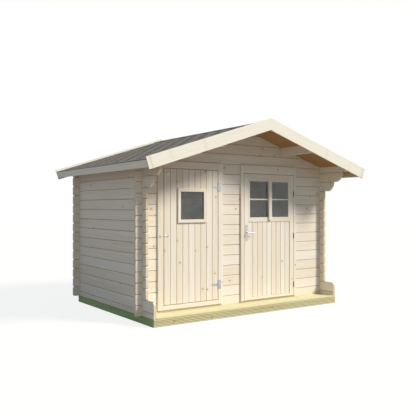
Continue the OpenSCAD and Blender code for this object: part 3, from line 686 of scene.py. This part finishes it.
def build_ridge(felt):
    """A row of ridge pieces, each in two halves that meet on the ridge line."""
    pieces = 18
    pitch = (roof_back - roof_front) / pieces
    gap = 1 * mm
    low = SHINGLE_TOP + RIDGE_LIFT
    high = low + 0.8 * RIDGE_STRIP_T
    edit = bmesh.new()
    tone = edit.verts.layers.float.new("tab_tone")
    edit.verts.layers.float.new("tab_rise")
    for i in range(pieces):
        own_tone = random.random()
        start = roof_front + i * pitch
        end = start + pitch - gap
        # The left slope is the right one turned half round, so its Y is turned too
        for side, y0, y1 in (("left", -end, -start), ("right", start, end)):
            half = plank(edit, (0, y0, low), (RIDGE_W, y1, high), edge=0.5 * mm,
                         place=slope_place(side))
            for vert in half:
                vert[tone] = own_tone
    finish_piece("ridge_shingles", edit, felt, "root", "shingle", "ridge_strip")


# ---- Doors ----------------------------------------------------------------

# Trim round the left door's window
TRIM_W = 41 * mm


def build_casing(name, node, door, has_foot):
    """Casing boards in front of the logs, with jambs and stops behind them."""
    low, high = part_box(node)
    door_low, door_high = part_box(door)
    x0, x1 = door_low.x, door_high.x
    z0, z1 = door_low.z, door_high.z
    gap = DOOR_GAP
    out_x0, out_x1, out_z0, out_z1 = x0 - gap, x1 + gap, z0 - gap, z1 + gap
    stop_y = door_high.y + gap
    deep = high.y
    jamb = JAMB_T - STOP_W
    foot = low.z if has_foot else out_z0
    sill = z0 - STOP_W if has_foot else low.z

    uprights, levels = bmesh.new(), bmesh.new()
    for a, b in ((low.x, out_x0), (out_x1, high.x)):
        plank(uprights, (a, casing_y, foot), (b, front_y, high.z), edge=2 * mm)
    plank(levels, (out_x0, casing_y, out_z1), (out_x1, front_y, high.z), edge=2 * mm)
    if has_foot:
        plank(levels, (out_x0, casing_y, low.z), (out_x1, front_y, out_z0), edge=2 * mm)
    for a, b in ((x0 - jamb, out_x0), (out_x1, x1 + jamb)):
        plank(uprights, (a, front_y, sill), (b, deep, z1 + jamb), edge=1 * mm)
    for a, b in ((out_x0, x0 + STOP_W), (x1 - STOP_W, out_x1)):
        plank(uprights, (a, stop_y, z0 + STOP_W), (b, deep, z1 - STOP_W), edge=1 * mm)
    for y, bottom, top in ((front_y, out_z1, z1 + jamb), (stop_y, z1 - STOP_W, out_z1),
                           (front_y, sill, out_z0), (stop_y, out_z0, z0 + STOP_W)):
        plank(levels, (out_x0, y, bottom), (out_x1, deep, top), edge=1 * mm)
    # Steps wider than a casing board, so that each is one board of the pattern
    up = spruce("planed_spruce_" + name + "_uprights", GRAIN_Z, 2, 0.2, 0, knots=0.3)
    across = spruce("planed_spruce_" + name + "_levels", GRAIN_X, 2, 0.4, -0.1, knots=0.3)
    finish_piece(name + "_casing_uprights", uprights, up, "root", "door_wood", node)
    finish_piece(name + "_casing_levels", levels, across, "root", "door_wood")


def mitred_frame(edit, centre, inner, width, y0, y1, edge):
    """Four boards mitred round a square hole, from y0 to y1."""
    outer = inner / 2 + width
    for quarter in range(4):
        size = Matrix.Diagonal((2 * outer, y1 - y0, width, 1))
        verts = bmesh.ops.create_cube(edit, size=1, matrix=size)["verts"]
        bmesh.ops.translate(edit, vec=(0, (y0 + y1) / 2, outer - width / 2), verts=verts)
        for vert in verts:
            if vert.co.z < outer - width / 2:
                vert.co.x *= (inner / 2) / outer
        edges = list({e for v in verts for e in v.link_edges})
        eased = bmesh.ops.bevel(edit, geom=edges, offset=edge, segments=1, profile=0.5,
                                affect="EDGES", material=-1, clamp_overlap=True)["verts"]
        turn = Matrix.Translation(centre) @ Matrix.Rotation(math.radians(90 * quarter), 4, "Y")
        bmesh.ops.transform(edit, matrix=turn, verts=eased)


def build_left_door():
    """Nine upright boards with a square window, trimmed on both faces."""
    low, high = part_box("left_door_boards")
    boards = 9
    pitch = (high.x - low.x) / boards
    wood = spruce("planed_spruce_left_door", GRAIN_Z, 2, pitch, -high.x, joint=BOARD_SEAM)
    edit = bmesh.new()
    row_of_planks(edit, low, high, 0, boards, edge=3 * mm)
    door = finish_piece("left_door_planks", edit, wood, "left_door", "door_wood",
                        "left_door_boards")
    glass_low, glass_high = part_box("left_window_glass")
    # Past both faces of the door
    reach = Vector((FIT, 100 * mm, FIT))
    cut_box(door, glass_low - reach, glass_high + reach)

    trim_low, trim_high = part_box("left_window_trim")
    inner = trim_high.x - trim_low.x - 2 * TRIM_W
    centre = ((trim_low.x + trim_high.x) / 2, 0, (trim_low.z + trim_high.z) / 2)
    trim = spruce("planed_spruce_window_trim", GRAIN_Z, 2, ONE_BOARD, 0, **TRIM_WOOD, knots=0)
    edit = bmesh.new()
    mitred_frame(edit, centre, inner, TRIM_W, trim_low.y, casing_y, edge=2.5 * mm)
    bead = (glass_high.x - glass_low.x - inner) / 2
    mitred_frame(edit, centre, inner, bead, glass_high.y + FIT, high.y, edge=0.8 * mm)
    mitred_frame(edit, centre, inner, TRIM_W, high.y, trim_high.y, edge=2 * mm)
    finish_piece("left_window_mitred_trim", edit, trim, "left_door", "trim_wood",
                 "left_window_trim")

    ledge = spruce("planed_spruce_ledges", GRAIN_X, 2, 0.3, 0, knots=0.35)
    finish_nodes(ledge, "left_door_ledges")


def build_right_door():
    """Stiles and rails round the glass, and a panel of nine upright boards."""
    low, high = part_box("right_door_frame")
    glass_low, glass_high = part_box("right_door_glass")
    panel_low, panel_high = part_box("right_door_panel")
    stile = panel_low.x - FIT - low.x
    bead = glass_low.x - FIT - low.x - stile
    edit = bmesh.new()
    for x0, x1 in ((low.x, low.x + stile), (high.x - stile, high.x)):
        plank(edit, (x0, low.y, low.z), (x1, high.y, high.z), edge=2 * mm)
    for x0 in (low.x + stile, high.x - stile - bead):
        plank(edit, (x0, low.y, glass_low.z - FIT), (x0 + bead, high.y, glass_high.z + FIT),
              edge=1.5 * mm)
    up = spruce("planed_spruce_door_stiles", GRAIN_Z, 2, 0.1, 0, knots=0.2)
    finish_piece("right_door_stiles", edit, up, "right_door", "door_wood", "right_door_frame")
    edit = bmesh.new()
    for z0, z1 in ((low.z, panel_low.z - FIT), (panel_high.z + FIT, glass_low.z - FIT),
                   (glass_high.z + FIT, high.z)):
        plank(edit, (low.x + stile, low.y, z0), (high.x - stile, high.y, z1), edge=1.5 * mm)
    across = spruce("planed_spruce_door_rails", GRAIN_X, 2, 0.5, 0, knots=0.2)
    finish_piece("right_door_rails", edit, across, "right_door", "door_wood")
    boards = 9
    wood = spruce("planed_spruce_door_panel", GRAIN_Z, 2, (panel_high.x - panel_low.x) / boards,
                  -panel_high.x, joint=BOARD_SEAM)
    edit = bmesh.new()
    row_of_planks(edit, panel_low, panel_high, 0, boards, edge=3 * mm)
    finish_piece("right_door_panel_planks", edit, wood, "right_door", "door_wood",
                 "right_door_panel")


# ---- Hardware -------------------------------------------------------------

# Hinge plates: height, face behind the front of the knuckle, and screws from the edge
HINGE_PLATE_H = 117 * mm
HINGE_PLATE_FACE = 8 * mm
PLATE_SCREW_IN = 12 * mm
PLATE_SCREW_STEP = 42 * mm
# Straps and the hook's keeper: screws from the end, and face in front of the boards
STRAP_SCREWS_IN = (18 * mm, 58 * mm)
STRAP_FACE = 2.5 * mm
KEEPER_SCREW_IN = 6 * mm
KEEPER_FACE = 2 * mm
# Handle plate: screws from its ends, and the keyhole over its lower end
HANDLE_SCREW_IN = 16 * mm
KEYHOLE_UP = 52 * mm
KEYHOLE_R = 8.5 * mm
KEYHOLE_H = 3 * mm
TURN_TO_FRONT = Matrix.Rotation(math.radians(90), 4, "X")


def screw_head(edit, x, y, z, radius=3.5 * mm):
    """A screw head whose socketed face looks to the front at y."""
    sides = 16
    height = 0.5 * radius
    place = Matrix.Translation((x, y, z)) @ TURN_TO_FRONT @ Matrix.Translation((0, 0, -height / 2))
    made = bmesh.ops.create_cone(edit, cap_ends=True, segments=sides, radius1=0.7 * radius,
                                 radius2=radius, depth=height, matrix=place)
    faces = {f for v in made["verts"] for f in v.link_faces}
    for face in [f for f in faces if len(f.verts) == sides]:
        bmesh.ops.inset_region(edit, faces=[face], thickness=0.4 * radius, depth=0)
        bmesh.ops.inset_region(edit, faces=[face], thickness=0.05 * radius,
                               depth=-0.2 * radius)


def finish_hardware(zinc, nickel):
    """Metal, plastic and glass on the CAD nodes."""
    dark = plated_steel("dark_plated_steel", "#6E6C69", "#4E4C4A", rough=0.42, flake=5 * mm,
                        contrast=0.4)
    finish_nodes(zinc, "left_hinge_plates", "left_hinge_straps", "hook_keeper", "hook_pivot",
                 "cabin_hook")
    finish_nodes(dark, "right_hinge_plates", "right_hinge_leaves")
    finish_nodes(nickel, "right_handle_plates", "lever_handle")
    finish_nodes(moulded_plastic(), "left_door_cap", "right_door_cap")
    finish_nodes(float_glass(), "left_window_glass", "right_door_glass")


def build_hardware():
    """Screws on the hinges, plates and hook, and the keyhole under the lever."""
    zinc = plated_steel("zinc_plated_steel", "#C9CBCC", "#9FA2A4", rough=0.38, flake=6 * mm,
                        contrast=0.5)
    nickel = plated_steel("satin_nickel", "#D2D1CE", "#B4B2AE", rough=0.28, flake=3 * mm,
                          contrast=0.2)
    finish_hardware(zinc, nickel)

    low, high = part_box("left_hinge_plates")
    strap_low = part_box("left_hinge_straps")[0]
    heights = (low.z + HINGE_PLATE_H / 2, high.z - HINGE_PLATE_H / 2)
    plates, straps = bmesh.new(), bmesh.new()
    for z in heights:
        for step in (-1, 0, 1):
            screw_head(plates, high.x - PLATE_SCREW_IN, low.y + HINGE_PLATE_FACE,
                       z + step * PLATE_SCREW_STEP)
        for reach in STRAP_SCREWS_IN:
            screw_head(straps, strap_low.x + reach, casing_y - STRAP_FACE, z)
    finish_piece("left_hinge_plate_screws", plates, zinc, "root", "zinc_steel")
    finish_piece("left_hinge_strap_screws", straps, zinc, "left_door", "zinc_steel")

    low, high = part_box("hook_keeper")
    edit = bmesh.new()
    for z in (low.z + KEEPER_SCREW_IN, high.z - KEEPER_SCREW_IN):
        screw_head(edit, (low.x + high.x) / 2, casing_y - KEEPER_FACE, z, radius=2.5 * mm)
    finish_piece("hook_keeper_screws", edit, zinc, "root", "zinc_steel")

    low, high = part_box("right_handle_plates")
    middle = (low.x + high.x) / 2
    edit = bmesh.new()
    for z in (low.z + HANDLE_SCREW_IN, high.z - HANDLE_SCREW_IN):
        screw_head(edit, middle, low.y, z)
    keyhole = Matrix.Translation((middle, low.y - KEYHOLE_H / 2, low.z + KEYHOLE_UP))
    sides = 32
    barrel = bmesh.ops.create_cone(edit, cap_ends=True, segments=sides, radius1=KEYHOLE_R,
                                   radius2=KEYHOLE_R, depth=KEYHOLE_H,
                                   matrix=keyhole @ TURN_TO_FRONT)
    faces = {f for v in barrel["verts"] for f in v.link_faces if len(f.verts) == sides}
    for face in faces:
        bmesh.ops.inset_region(edit, faces=[face], thickness=2 * mm, depth=-0.6 * mm)
    finish_piece("handle_plate_fittings", edit, nickel, "right_door", "handle_steel")


# ---- Scene ----------------------------------------------------------------

random.seed(7)
bpy.context.scene.view_settings.view_transform = "Standard"
add_camera()
add_sun("key_light", towards=(0.49, -0.59, 0.64), strength=3.7, soft_deg=15, colour="#FFF9F0")
add_sky()
add_floor()
finish_walls()
finish_trim_boards()
finish_base()
build_roof_boards()
build_shingles()
build_casing("left", "left_door_casing", "left_door_boards", has_foot=True)
build_casing("right", "right_door_casing", "right_door_frame", has_foot=False)
build_left_door()
build_right_door()
build_hardware()
